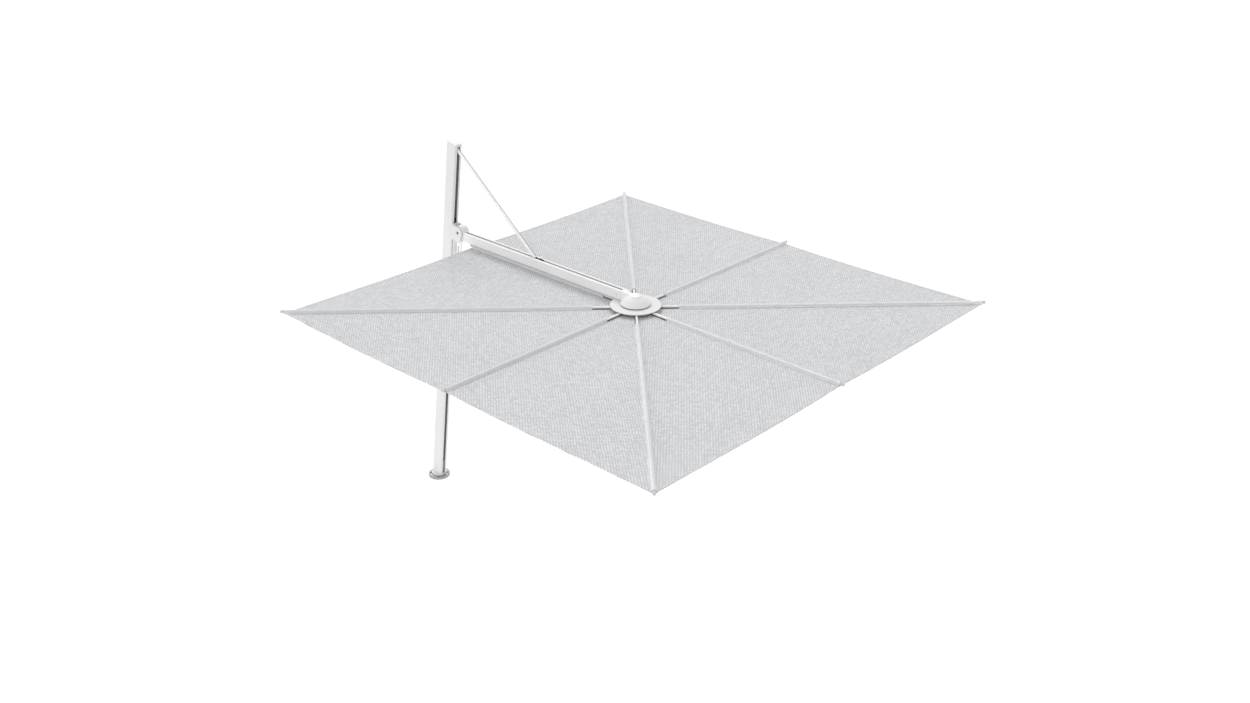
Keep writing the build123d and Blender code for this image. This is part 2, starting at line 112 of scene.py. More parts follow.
# ---------------------------------------------------------------- materials
class Finish:
    """A node material being put together."""

    def __init__(self, name, colour, rough, **inputs):
        self.material = bpy.data.materials.new(name)
        self.material.use_nodes = True
        self.tree = self.material.node_tree
        self.surface = self.tree.nodes["Principled BSDF"]
        self.surface.inputs["Base Color"].default_value = (*colour, 1)
        self.surface.inputs["Roughness"].default_value = rough
        for key, value in inputs.items():
            self.surface.inputs[key.replace("_", " ")].default_value = value
        self.height = None

    def node(self, kind, inputs=None, **settings):
        made = self.tree.nodes.new("ShaderNode" + kind)
        for key, value in settings.items():
            setattr(made, key, value)
        for key, value in (inputs or {}).items():
            if isinstance(value, bpy.types.NodeSocket):
                self.tree.links.new(value, made.inputs[key])
            else:
                made.inputs[key].default_value = value
        return made

    def place(self, output="Object"):
        return self.node("TexCoord").outputs[output]

    def math(self, operation, first, second=0.0):
        return self.node("Math", {0: first, 1: second}, operation=operation).outputs[0]

    def dot(self, vector, direction):
        made = self.node("VectorMath", {0: vector, 1: tuple(direction)}, operation="DOT_PRODUCT")
        return made.outputs["Value"]

    def noise(self, vector, scale, detail=2.0, rough=0.5):
        given = {"Vector": vector, "Scale": scale, "Detail": detail, "Roughness": rough}
        return self.node("TexNoise", given).outputs["Fac"]

    def ramp(self, factor, low, high):
        """The factor stretched from the range given to 0..1."""
        given = {"Value": factor, "From Min": low, "From Max": high}
        return self.node("MapRange", given, clamp=True).outputs["Result"]

    def between(self, factor, low, high):
        given = {"Value": factor, "To Min": low, "To Max": high}
        return self.node("MapRange", given, clamp=True).outputs["Result"]

    def mix(self, factor, first, second, blend="MIX"):
        made = self.node("Mix", data_type="RGBA", blend_type=blend)
        for key, value in (("Factor", factor), ("A", first), ("B", second)):
            socket = next(s for s in made.inputs if s.name == key and s.enabled)
            if isinstance(value, bpy.types.NodeSocket):
                self.tree.links.new(value, socket)
            else:
                socket.default_value = value if key == "Factor" else (*value, 1)
        return next(s for s in made.outputs if s.enabled)

    def use(self, socket, value):
        self.tree.links.new(value, self.surface.inputs[socket])

    def within(self, vector, direction, distance):
        """1 where the vector reaches less than a distance along a direction, either way."""
        return self.math("LESS_THAN", self.math("ABSOLUTE", self.dot(vector, direction)), distance)

    def cover(self, where, colour):
        """Lays a colour over the present one, where the factor is 1."""
        present = self.surface.inputs["Base Color"].links[0].from_socket
        self.use("Base Color", self.mix(where, present, colour))

    def bump(self, height, depth, strength=1.0):
        """Adds relief of this real depth, in metres, over any relief already there."""
        given = {"Strength": strength, "Distance": depth, "Height": height}
        made = self.node("Bump", given)
        if self.height is not None:
            self.tree.links.new(self.height, made.inputs["Normal"])
        self.height = made.outputs["Normal"]
        self.use("Normal", self.height)


def powder_coat(name, colour, grain=700.0, depth=0.00012, rough=0.42):
    """Sprayed coat on metal: orange peel, a slightly uneven gloss and a faint drift of tone."""
    made = Finish(name, colour, rough, Coat_Weight=0.12, Coat_Roughness=0.25)
    spot = made.place()
    drift = made.noise(spot, 3.0, 3.0)
    speck = made.noise(spot, grain * 1.7, 2.0)
    deep = tuple(channel * 0.955 for channel in colour)
    tone = made.mix(made.ramp(drift, 0.3, 0.7), deep, colour)
    made.use("Base Color", made.mix(made.ramp(speck, 0.66, 0.8), tone, (0.97, 0.97, 0.97)))
    made.use("Roughness", made.between(made.noise(spot, 40.0, 3.0), rough - 0.1, rough + 0.12))
    made.bump(made.noise(spot, grain, 3.0), depth, 0.5)
    return made


TRACK_AHEAD, TRACK_ASIDE = 0.0432, 0.0271    # the mast's inside: ahead or back of its axis, and aside
GROOVE_ASIDE = 0.0103                        # the arm's groove, to either side


def mast_coat():
    """Powder coat outside, and painted shade inside the track: a mid grey with faint streaks along the mast.
    """
    made = powder_coat("mast_powder_coat", WHITE)
    spot = made.place()
    # Painted shade: the inside of the mast's track is painted darker, standing for the shade in the slot.
    deep = made.within(spot, AHEAD, TRACK_AHEAD)
    near = made.within(spot, (0, 1, 0), TRACK_ASIDE)
    inside = made.math("MULTIPLY", deep, near)
    streak = made.noise(made.node("Mapping", {"Vector": spot, "Scale": (1, 1, 0.02)}).outputs[0], 600.0)
    painted_track_shade = made.mix(streak, (0.50, 0.501, 0.506), (0.62, 0.621, 0.627))
    made.cover(inside, painted_track_shade)
    return made.material


def arm_coat():
    """Powder coat outside, and painted shade down in the arm's groove: a darker grey with faint streaks along
    the arm.
    """
    made = powder_coat("arm_powder_coat", (0.825, 0.825, 0.82))
    spot = made.place()
    near = made.within(spot, (0, 1, 0), GROOVE_ASIDE)
    streak = made.noise(made.node("Mapping", {"Vector": spot, "Scale": (0.02, 1, 1)}).outputs[0], 500.0)
    # Painted shade: the groove's walls and floor are painted darker for the shade in the recess.
    painted_groove_shade = made.mix(streak, (0.56, 0.56, 0.565), (0.72, 0.72, 0.725))
    made.cover(near, painted_groove_shade)
    return made.material


def cap_coat():
    """Powder coat on the mast's head, painted near black below its rim where its lugs stand in the slot:
    painted shade for the slot's dark inside.
    """
    made = powder_coat("cap_powder_coat", WHITE)
    # Painted shade: the head below its rim is painted near black, standing for the shade in the mast's slot.
    low = made.math("LESS_THAN", made.dot(made.place(), UP_MAST), CAP_FOOT)
    dark = made.mix(made.noise(made.place(), 300.0), (0.05, 0.05, 0.052), (0.09, 0.09, 0.094))
    made.cover(low, dark)
    return made.material


def drawn_metal(name, colour, rough, direction):
    """Bare metal with fine lines drawn along one direction, given as a scale."""
    made = Finish(name, colour, rough, Metallic=1.0)
    spot = made.place()
    lines = made.noise(made.node("Mapping", {"Vector": spot, "Scale": direction}).outputs[0], 900.0, 4.0)
    dark = tuple(channel * 0.72 for channel in colour)
    made.use("Base Color", made.mix(made.ramp(lines, 0.3, 0.7), dark, colour))
    made.use("Roughness", made.between(lines, rough - 0.08, rough + 0.14))
    made.bump(lines, 0.00006, 0.5)
    return made.material


def turned_metal(name, colour, rough):
    """Galvanised and turned flange: rings about its own axis and a mottled zinc tone."""
    made = Finish(name, colour, rough, Metallic=0.55)
    spot = made.place()
    rings = made.node(
        "TexWave",
        {"Vector": spot, "Scale": 260.0, "Distortion": 0.6, "Detail": 2.0},
        wave_type="RINGS",
        rings_direction="Z",
    ).outputs["Fac"]
    flake = made.node("TexVoronoi", {"Vector": spot, "Scale": 190.0}).outputs["Color"]
    dark = tuple(channel * 0.8 for channel in colour)
    mottled = made.mix(made.ramp(made.dot(flake, (0.4, 0.3, 0.3)), 0.1, 0.8), dark, colour)
    made.use("Base Color", made.mix(made.ramp(rings, 0.0, 1.0), mottled, colour))
    made.use("Roughness", made.between(made.noise(spot, 120.0, 4.0), rough - 0.08, rough + 0.12))
    made.bump(rings, 0.00005, 0.4)
    return made.material


def moulded(name, colour, rough, grain=1400.0, depth=0.00008):
    """Moulded plastic with a fine spark-eroded grain and soft flow marks."""
    made = Finish(name, colour, rough, Specular_IOR_Level=0.42)
    spot = made.place()
    cells = made.node("TexVoronoi", {"Vector": spot, "Scale": grain}, feature="SMOOTH_F1").outputs["Distance"]
    flow = made.noise(spot, 22.0, 4.0)
    deep = tuple(channel * 0.86 for channel in colour)
    made.use("Base Color", made.mix(made.ramp(flow, 0.35, 0.65), deep, colour))
    made.use("Roughness", made.between(flow, rough - 0.05, rough + 0.08))
    made.bump(cells, depth, 0.6)
    return made.material


DASH, ROW = 0.022, 0.0095    # the cloth's visible weave: a pick's length and the height of a row


def woven(name, light, dark, dash=DASH, row=ROW):
    """Two-tone outdoor cloth: rows of long picks, half a pick out of step, of twisted yarns."""
    made = Finish(name, light, 0.86, Sheen_Weight=0.18, Sheen_Roughness=0.5, Specular_IOR_Level=0.2)
    flat = made.place("UV")
    wander = made.node("TexNoise", {"Vector": flat, "Scale": 14.0, "Detail": 2.0}).outputs["Color"]
    pull = made.node("VectorMath", {0: wander, 1: (0.5, 0.5, 0.5)}, operation="SUBTRACT").outputs[0]
    pull = made.node("VectorMath", {0: pull, "Scale": row * 0.9}, operation="SCALE").outputs[0]
    laid = made.node("VectorMath", {0: flat, 1: pull}, operation="ADD").outputs[0]
    picks = made.node(
        "TexBrick",
        {
            "Vector": laid,
            "Color1": (*light, 1),
            "Color2": (*(a * 0.66 + b * 0.34 for a, b in zip(light, dark)), 1),
            "Mortar": (*dark, 1),
            "Scale": 1.0,
            "Mortar Size": row * 0.26,
            "Mortar Smooth": 0.8,
            "Bias": -0.1,
            "Brick Width": dash,
            "Row Height": row,
        },
        offset=0.5,
        offset_frequency=2,
    )
    yarns = made.node("Mapping", {"Vector": flat, "Scale": (420, 1500, 1)}).outputs[0]
    twist = made.noise(yarns, 1.0, 3.0)
    slub = made.noise(made.node("Mapping", {"Vector": flat, "Scale": (9, 90, 1)}).outputs[0], 1.0, 3.0)
    cloudy = made.noise(flat, 2.2, 3.0)
    toned = made.mix(made.ramp(twist, 0.25, 0.8), (0.90, 0.90, 0.90), (1.0, 1.0, 1.0))
    toned = made.mix(1.0, picks.outputs["Color"], toned, "MULTIPLY")
    slubbed = made.mix(made.ramp(slub, 0.3, 0.7), (0.93, 0.93, 0.93), (1.0, 1.0, 1.0))
    toned = made.mix(1.0, toned, slubbed, "MULTIPLY")
    clouded = made.mix(made.ramp(cloudy, 0.3, 0.7), (0.965, 0.965, 0.97), (1.0, 1.0, 1.0))
    made.use("Base Color", made.mix(1.0, toned, clouded, "MULTIPLY"))
    made.use("Roughness", made.between(twist, 0.8, 0.94))
    made.bump(picks.outputs["Fac"], -0.0009, 0.7)
    made.bump(twist, 0.00018, 0.6)
    return made.material


def thread(name, colour):
    """Twisted sewing thread."""
    made = Finish(name, colour, 0.6, Sheen_Weight=0.3)
    spot = made.place()
    twist = made.noise(spot, 1500.0, 2.0)
    made.use("Base Color", made.mix(twist, tuple(c * 0.8 for c in colour), colour))
    made.bump(twist, 0.0001, 0.6)
    return made.material


WHITE = (0.765, 0.765, 0.76)
COAT = powder_coat("white_powder_coat", WHITE).material
CASTING = powder_coat("cast_powder_coat", (0.80, 0.80, 0.795), 420.0, 0.00022, 0.46).material
MAST_COAT = mast_coat()
FLANGE = turned_metal("galvanised_flange", (0.40, 0.40, 0.41), 0.56)
STEEL = drawn_metal("brushed_steel", (0.62, 0.62, 0.63), 0.3, (1, 0.02, 1))
BLACK = moulded("black_plastic", (0.028, 0.028, 0.030), 0.42)
DARK_GREY = moulded("dark_grey_plastic", (0.10, 0.10, 0.103), 0.48)
GREY_PLASTIC = moulded("grey_plastic", (0.60, 0.60, 0.61), 0.45)
WHITE_PLASTIC = moulded("white_plastic", (0.93, 0.93, 0.93), 0.24, 1800.0, 0.00003)
CLOTH = woven("canopy_cloth", (0.945, 0.95, 0.962), (0.36, 0.365, 0.385))
SLEEVE = woven("sleeve_cloth", (0.93, 0.935, 0.952), (0.66, 0.665, 0.69), 0.011, 0.0055)
THREAD = thread("sewing_thread", (0.74, 0.75, 0.77))

FINISHES = {
    "white_frame": COAT,
    "inner_casting": CASTING,
    "foot_metal": FLANGE,
    "steel": STEEL,
    "dark_plastic": BLACK,
    "white_plastic": GREY_PLASTIC,
    "cloth": CLOTH,
}
# Painted shade: a dark grey for the hub's core, standing for the shade under the disc's rim; the strut's
# strip uses it too.
PAINTED_SHADE_GREY = moulded("hub_painted_shade_grey", (0.20, 0.20, 0.205), 0.55)
CAP_COAT = cap_coat()
# Painted shade: the disc's coat is a darker copy of the white coat, dimmed because its upper face catches the
# key lamp.
DISC_COAT = powder_coat("disc_powder_coat", (0.71, 0.71, 0.705), 520.0, 0.00016, 0.48).material
ARM_COAT = arm_coat()
STAY_COAT = powder_coat("stay_powder_coat", (0.93, 0.93, 0.925)).material
ONLY_HERE = {
    "mast_profile": MAST_COAT,
    "mast_cap": CAP_COAT,
    "hub_core": PAINTED_SHADE_GREY,
    "hub_disc": DISC_COAT,
    "arm_profile": ARM_COAT,
    "stay_bar": STAY_COAT,
    "handle_loop": WHITE_PLASTIC,
}
ONLY_HERE.update({f"rib_rod_{k + 1}": WHITE_PLASTIC for k in range(RIBS)})
ONLY_HERE.update({f"rib_cradle_{k + 1}": DARK_GREY for k in range(RIBS)})


def dress_cad_nodes():
    """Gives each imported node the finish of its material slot."""
    slots = {part["node"]: part["material_slot"] for part in frame["record"]["subparts"]}
    for name, node in frame["nodes"].items():
        finish = ONLY_HERE.get(name) or FINISHES[slots[name]]
        for slot in node.material_slots:
            slot.link = "OBJECT"
            slot.material = finish
        if not node.material_slots:
            node.data.materials.append(finish)


# ---------------------------------------------------------------- mesh helpers
def new_piece(name, points, faces, finish, slot_name):
    """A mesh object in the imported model's frame."""
    mesh = bpy.data.meshes.new(name)
    mesh.from_pydata([tuple(p) for p in points], [], faces)
    mesh.materials.append(finish)
    mesh.shade_smooth()
    piece = bpy.data.objects.new(name, mesh)
    bpy.context.scene.collection.objects.link(piece)
    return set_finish(piece, slot_name)


def apply_modifiers(piece):
    """Replaces the piece's mesh by what its modifiers make of it."""
    bpy.context.view_layer.update()
    shaped = bpy.data.meshes.new_from_object(piece.evaluated_get(bpy.context.evaluated_depsgraph_get()))
    piece.modifiers.clear()
    old, piece.data = piece.data, shaped
    bpy.data.meshes.remove(old)


def crease(piece, degrees=35.0):
    """Smooth shading with real edges kept sharp."""
    piece.data.shade_smooth()
    piece.data.set_sharp_from_angle(angle=radians(degrees))


def loft(name, rings, finish, slot_name, degrees=35.0):
    """A skin over closed rings of equally many points, closed at both ends."""
    count = len(rings[0])
    points = [p for ring in rings for p in ring]
    faces = [
        (i * count + j, i * count + (j + 1) % count, (i + 1) * count + (j + 1) % count, (i + 1) * count + j)
        for i in range(len(rings) - 1)
        for j in range(count)
    ]
    faces += [tuple(reversed(range(count))), tuple(range(len(points) - count, len(points)))]
    piece = new_piece(name, points, faces, finish, slot_name)
    fix_normals(piece)
    crease(piece, degrees)
    return piece


def fix_normals(piece):
    shell = bmesh.new()
    shell.from_mesh(piece.data)
    bmesh.ops.recalc_face_normals(shell, faces=shell.faces)
    shell.to_mesh(piece.data)
    shell.free()


def turned(name, profile, centre, finish, slot_name, steps=96, axis=(0, 0, 1)):
    """A solid of revolution. The profile is (radius, height) from the axis back to the axis."""
    turn = Vector((0, 0, 1)).rotation_difference(Vector(axis)).to_matrix()
    rings = [
        [
            Vector(centre) + turn @ Vector((r * cos(2 * pi * k / steps), r * sin(2 * pi * k / steps), h))
            for k in range(steps)
        ]
        for r, h in profile
    ]
    return loft(name, rings, finish, slot_name)


def ease(t):
    """0 to 1 with level ends."""
    t = min(1.0, max(0.0, t))
    return t * t * (3 - 2 * t)


# ---------------------------------------------------------------- the cloth
SAG = 0.011                  # dip between two ribs at the cloth's edge
CLOTH_THICK = 1.1 * MM
HEM = 24 * MM
HEM_RISE = 0.7 * MM
ACROSS = 40                  # cells across one sheet
ALONG = 130                  # cells from the hub to the hem
HEM_ROWS = [HEM, HEM - 0.8 * MM, 17 * MM, 10 * MM, 3 * MM, 1 * MM, 0.0]    # each, in from the edge


def cloth_height(x, y):
    """Height of the cloth's upper face over a point, by one formula for the whole canopy."""
    out_x, out_y = x - HUB.x, y - HUB.y
    far, turn = hypot(out_x, out_y), atan2(out_y, out_x)
    step = 2 * HALF_SECTOR
    off_rib = abs((turn / step + 0.5) % 1.0 - 0.5) * 2
    dip = SAG * min(1.0, far / HALF_SIDE) ** 1.4 * sin(off_rib * pi / 2)
    taut = 0.5 - 0.5 * cos(2 * pi * min(1.0, off_rib))
    pulls = noise.noise(Vector((turn * 9, far * 1.3, 3.1))) * 1.6 * MM * taut
    slack = noise.noise(Vector((x * 4.5, y * 4.5, 7.7))) * 1.1 * MM * taut
    return CLOTH_TOP - dip * (0.85 + 0.15 * noise.noise(Vector((x, y, 0)))) + pulls + slack


def outer_edge(index, turn):
    """Distance to the cloth's edge in a direction, and the direction's angle to the edge's normal."""
    slant = pi / 4 - abs(turn) if index % 2 else abs(turn)
    return HALF_SIDE / cos(slant), slant


def in_front_cut(x, y):
    """True on the cut of cloth at -Y, whose rows of weave run along X."""
    return y - HUB.y < -abs(x - HUB.x)


def cloth_sheet(index):
    """One rib's share of the canopy, from bisector to bisector, with its hem."""
    rows = []
    for k in range(ALONG + len(HEM_ROWS)):
        row = []
        for j in range(ACROSS + 1):
            turn = HALF_SECTOR * (2 * j / ACROSS - 1)
            edge, slant = outer_edge(index, turn)
            hem_start = edge - HEM_ROWS[0] / cos(slant)
            if k < ALONG:
                far, rise = CLOTH_INNER + (hem_start - CLOTH_INNER) * k / ALONG, 0.0
            else:
                inset = HEM_ROWS[k - ALONG]
                far = edge - inset / cos(slant)
                rise = HEM_RISE * (0.5 if inset in (0.0, HEM_ROWS[0]) else 1.0)
            spot = HUB + rib_out(index) * (far * cos(turn)) + rib_left(index) * (far * sin(turn))
            row.append(Vector((spot.x, spot.y, cloth_height(spot.x, spot.y) + rise)))
        rows.append(row)
    wide = ACROSS + 1
    top = [p for row in rows for p in row]
    under = [p - Vector((0, 0, CLOTH_THICK)) for p in top]
    for p, q in zip(top[-wide * len(HEM_ROWS):], under[-wide * len(HEM_ROWS):]):
        q.z = p.z - CLOTH_THICK - 2 * HEM_RISE
    size = len(top)
    faces = []
    for k in range(len(rows) - 1):
        for j in range(ACROSS):
            a, b, c, d = k * wide + j, k * wide + j + 1, (k + 1) * wide + j + 1, (k + 1) * wide + j
            faces += [(a, d, c, b), (a + size, b + size, c + size, d + size)]
    last = (len(rows) - 1) * wide
    border = [(j, j + 1) for j in range(ACROSS)]
    border += [(last + j + 1, last + j) for j in range(ACROSS)]
    border += [((k + 1) * wide, k * wide) for k in range(len(rows) - 1)]
    border += [(k * wide + ACROSS, (k + 1) * wide + ACROSS) for k in range(len(rows) - 1)]
    faces += [(a, b, b + size, a + size) for a, b in border]
    sheet = new_piece(f"canopy_sheet_{index + 1}", top + under, faces, CLOTH, "cloth")
    mesh = sheet.data
    rim_start = len(faces) - len(border)
    for polygon in mesh.polygons[rim_start:]:
        polygon.use_smooth = False
    rim = {tuple(sorted(pair)) for a, b in border for pair in ((a, b), (a + size, b + size))}
    sharp = mesh.attributes.new("sharp_edge", "BOOLEAN", "EDGE")
    sharp.data.foreach_set("value", [tuple(sorted(e.vertices)) in rim for e in mesh.edges])
    lay_uv(mesh)
    return sheet


def lay_uv(mesh):
    """The weave's own coordinates, in metres, one cut of cloth at a time."""
    layer = mesh.uv_layers.new(name="weave")
    for polygon in mesh.polygons:
        front = in_front_cut(polygon.center.x, polygon.center.y)
        for loop in polygon.loop_indices:
            spot = mesh.vertices[mesh.loops[loop].vertex_index].co
            layer.data[loop].uv = (spot.x, spot.y) if front else (spot.y + 0.37, spot.x)


STITCH_PITCH, STITCH_LONG = 8 * MM, 5.2 * MM
STITCH_HALF = 0.45 * MM
HEM_SEAM = 19 * MM            # the hem's stitches, in from the edge
SLEEVE_SEAM = 16.9 * MM       # a sleeve's stitches, aside from its rib


def stitches(name, route):
    """A line of sewn stitches along a route of points."""
    points, faces = [], []
    left_over = STITCH_PITCH / 2
    for start, end in zip(route, route[1:]):
        run = (end - start).length
        along = (end - start).normalized()
        aside = along.cross(Vector((0, 0, 1))).normalized() * STITCH_HALF
        up = Vector((0, 0, STITCH_HALF))
        while left_over < run:
            middle_point = start + along * left_over
            first = len(points)
            for share, size in ((-0.5, 0.25), (-0.25, 1.0), (0.25, 1.0), (0.5, 0.25)):
                spot = middle_point + along * (share * STITCH_LONG)
                points += [spot - aside * size, spot + up * size * 1.3, spot + aside * size]
            for ring in range(3):
                a = first + ring * 3
                faces += [(a, a + 1, a + 4, a + 3), (a + 1, a + 2, a + 5, a + 4), (a + 2, a, a + 3, a + 5)]
            faces += [(first + 2, first + 1, first), (first + 9, first + 10, first + 11)]
            left_over += STITCH_PITCH
        left_over -= run
    return new_piece(name, points, faces, THREAD, "cloth")


def hem_stitches(index):
    """The row of stitches that holds the hem, along a sheet's outer edge."""
    route = []
    steps = ACROSS * 2
    for j in range(steps + 1):
        turn = HALF_SECTOR * (2 * j / steps - 1)
        edge, slant = outer_edge(index, turn)
        far = edge - HEM_SEAM / cos(slant)
        spot = HUB + rib_out(index) * (far * cos(turn)) + rib_left(index) * (far * sin(turn))
        route.append(Vector((spot.x, spot.y, cloth_height(spot.x, spot.y) + HEM_RISE)))
    return stitches(f"hem_stitches_{index + 1}", route)


SLEEVE_FOOT = 14.6 * MM      # half the sleeve's width where it meets the cloth
SLEEVE_FLANGE = 19.0 * MM    # half its width over the sewn edges
SLEEVE_RADIUS = ROD_RADIUS + 2.4 * MM
SLEEVE_THICK = 0.8 * MM
ARCH_STEPS = 12


def sleeve_section(swell, lift):
    """Half section of the sleeve, outer face: (aside, height over the cloth), edge to edge."""
    radius = SLEEVE_RADIUS * swell
    centre = ROD_Z - CLOTH_TOP
    flange = [(-SLEEVE_FLANGE, 0.35 * MM), (-SLEEVE_FLANGE + 0.5 * MM, 1.1 * MM), (-16.6 * MM, 0.75 * MM)]
    flange += [(-SLEEVE_FOOT - 0.8 * MM, 1.3 * MM), (-SLEEVE_FOOT + 0.6 * MM, 2.6 * MM)]
    arch = []
    for k in range(ARCH_STEPS + 1):
        turn = pi * (1.06 - 1.12 * k / ARCH_STEPS)
        arch.append((radius * 1.12 * cos(turn), centre + lift + radius * sin(turn)))
    return flange + arch + [(-y, z) for y, z in reversed(flange)]


def sleeve(index):
    """The cloth tunnel sewn over a rib, open at the hub end where the rod comes out."""
    reach = cloth_reach(index)
    start, end = CRADLE_END - 2 * MM, reach - 1 * MM
    steps = int((end - start) / (7 * MM))
    rings = []
    for k in range(steps + 1):
        far = start + (end - start) * k / steps
        to_end = min(far - start, end - far)
        flare = 1 + 0.10 * (1 - ease(to_end / (25 * MM)))
        pucker = noise.noise(Vector((far * 34, index * 5.3, 0))) * 0.045
        flare += pucker + noise.noise(Vector((far * 9, index * 2.1, 4))) * 0.03
        lift = noise.noise(Vector((far * 14, index * 3.7, 9))) * 0.4 * MM
        wander = noise.noise(Vector((far * 6, index * 7.9, 2))) * 0.5 * MM
        line = sleeve_section(flare, lift)
        inner = [(y * 0.88, max(z - SLEEVE_THICK, 0.25 * MM)) for y, z in reversed(line)]
        ring = []
        for y, z in line + inner:
            spot = HUB + rib_out(index) * far + rib_left(index) * (y + wander * (abs(y) < SLEEVE_FOOT))
            ring.append(Vector((spot.x, spot.y, CLOTH_TOP + z)))
        rings.append(ring)
    piece = loft(f"rib_sleeve_{index + 1}", rings, SLEEVE, "cloth", degrees=50.0)
    layer = piece.data.uv_layers.new(name="weave")
    out, left = rib_out(index), rib_left(index)
    for loop in piece.data.loops:
        spot = piece.data.vertices[loop.vertex_index].co - HUB
        layer.data[loop.index].uv = (spot.dot(out), spot.dot(left) + abs(spot.z) * 1.3)
    return piece


def sleeve_stitches(index, side):
    """The row of stitches along one side of a sleeve."""
    reach = cloth_reach(index)
    route, steps = [], 59
    for k in range(steps + 1):
        far = CRADLE_END + (reach - 5 * MM - CRADLE_END) * k / steps
        spot = HUB + rib_out(index) * far + rib_left(index) * (side * SLEEVE_SEAM)
        route.append(Vector((spot.x, spot.y, CLOTH_TOP + 0.85 * MM)))
    return stitches(f"sleeve_stitches_{index + 1}_{'left' if side > 0 else 'right'}", route)


def canopy():
    for index in range(RIBS):
        joint, body = f"rib_fold_{index + 1}", f"rib_{index + 1}"
        cloth = cloth_sheet(index)
        hem = hem_stitches(index)
        for piece in (cloth, hem):
            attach(piece, body)
            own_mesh(piece)
        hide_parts(f"canopy_panel_{index + 1}")
        sewn = [hem, sleeve(index), sleeve_stitches(index, 1), sleeve_stitches(index, -1)]
        for piece in sewn[1:]:
            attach(piece, body)
        area = sheet_area(index)


def sheet_area(index):
    """Flat area of one rib's share of the cloth."""
    total, steps = 0.0, 400
    for j in range(steps):
        turn = HALF_SECTOR * ((2 * j + 1) / steps - 1)
        edge = outer_edge(index, turn)[0]
        total += (edge**2 - CLOTH_INNER**2) / 2 * (2 * HALF_SECTOR / steps)
    return total


# ---------------------------------------------------------------- dome and neck of the arm
DOME_RADIUS = DOME_HIGH.x - HUB.x
SHELL = 5 * MM
VOXEL = 2.2 * MM


def cap_surface(radius, low, top, steps=64, rings=14):
    """Closed rings of a spherical cap, from its rim up to nearly its crown."""
    rise = top - low
    ball = (radius**2 + rise**2) / (2 * rise)
    made = []
    for k in range(rings + 1):
        r = radius * cos(pi / 2 * k / rings * 0.985)
        z = top - ball + sqrt(ball**2 - r**2)
        turns = [2 * pi * j / steps for j in range(steps)]
        made.append([Vector((HUB.x + r * cos(turn), r * sin(turn), z)) for turn in turns])
    return made


def bell_ring(x, top_half, foot_half, low, high, corner, steps=6, wall=9):
    """A section across the neck: rounded on top, with sides that run out to a wider foot."""
    side = []
    for k in range(steps + 1):
        turn = pi / 2 * (1 - k / steps)
        side.append((top_half - corner + corner * cos(turn), high - corner + corner * sin(turn)))
    for k in range(1, wall + 1):
        t = k / wall
        side.append((top_half + (foot_half - top_half) * t, high - corner + (low - high + corner) * t))
    ring = [Vector((x, y, z)) for y, z in side]
    return ring + [Vector((x, -y, z)) for y, z in reversed(side)]


def neck_rings():
    """The neck, which starts inside the arm's end, flares out of it and sinks into the dome."""
    rings = []
    start, end = ARM_HIGH.x - 14 * MM, HUB.x - 20 * MM
    for k in range(33):
        x = start + (end - start) * k / 32
        t = max(0.0, (x - ARM_HIGH.x) / (end - ARM_HIGH.x))
        top_half = ARM_HIGH.y + 0.3 * MM - 6 * MM * ease(t)
        foot_half = ARM_HIGH.y + 0.3 * MM + 50 * MM * ease(t * 1.7) + 9 * MM * ease(t * 1.7 - 0.7)
        high = ARM_HIGH.z + (DOME_TOP - 4 * MM - ARM_HIGH.z) * ease(t)
        low = ARM_LOW.z + (DOME_RIM - ARM_LOW.z) * ease(t * 3.2)
        rings.append(bell_ring(x, top_half, foot_half, low, high, 4 * MM + 10 * MM * ease(t)))
    return rings


DOME_RIM = DOME_LOW.z + 5.5 * MM


def join(name, pieces):
    """One mesh object of several, by bmesh."""
    shell = bmesh.new()
    for piece in pieces:
        shell.from_mesh(piece.data)
    mesh = bpy.data.meshes.new(name)
    shell.to_mesh(mesh)
    shell.free()
    for finish in pieces[0].data.materials:
        mesh.materials.append(finish)
    whole = bpy.data.objects.new(name, mesh)
    bpy.context.scene.collection.objects.link(whole)
    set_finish(whole, pieces[0]["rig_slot"])
    for piece in pieces:
        bpy.data.objects.remove(piece)
    return whole


def cut_with(piece, tool):
    """Takes the tool's shape out of the piece, and the tool out of the scene."""
    cutter = piece.modifiers.new("cut", "BOOLEAN")
    cutter.object, cutter.operation, cutter.solver = tool, "DIFFERENCE", "EXACT"
    apply_modifiers(piece)
    bpy.data.objects.remove(tool)


def box_piece(name, low, high, finish, slot_name, bevel=0.0, segments=3):
    """A block with rounded edges."""
    corners = [(x, y, z) for x in (low[0], high[0]) for y in (low[1], high[1]) for z in (low[2], high[2])]
    faces = [(0, 1, 3, 2), (4, 6, 7, 5), (0, 4, 5, 1), (2, 3, 7, 6), (0, 2, 6, 4), (1, 5, 7, 3)]
    piece = new_piece(name, corners, faces, finish, slot_name)
    if bevel:
        edge = piece.modifiers.new("edge", "BEVEL")
        edge.width, edge.segments = bevel, segments
        apply_modifiers(piece)
    crease(piece)
    return piece


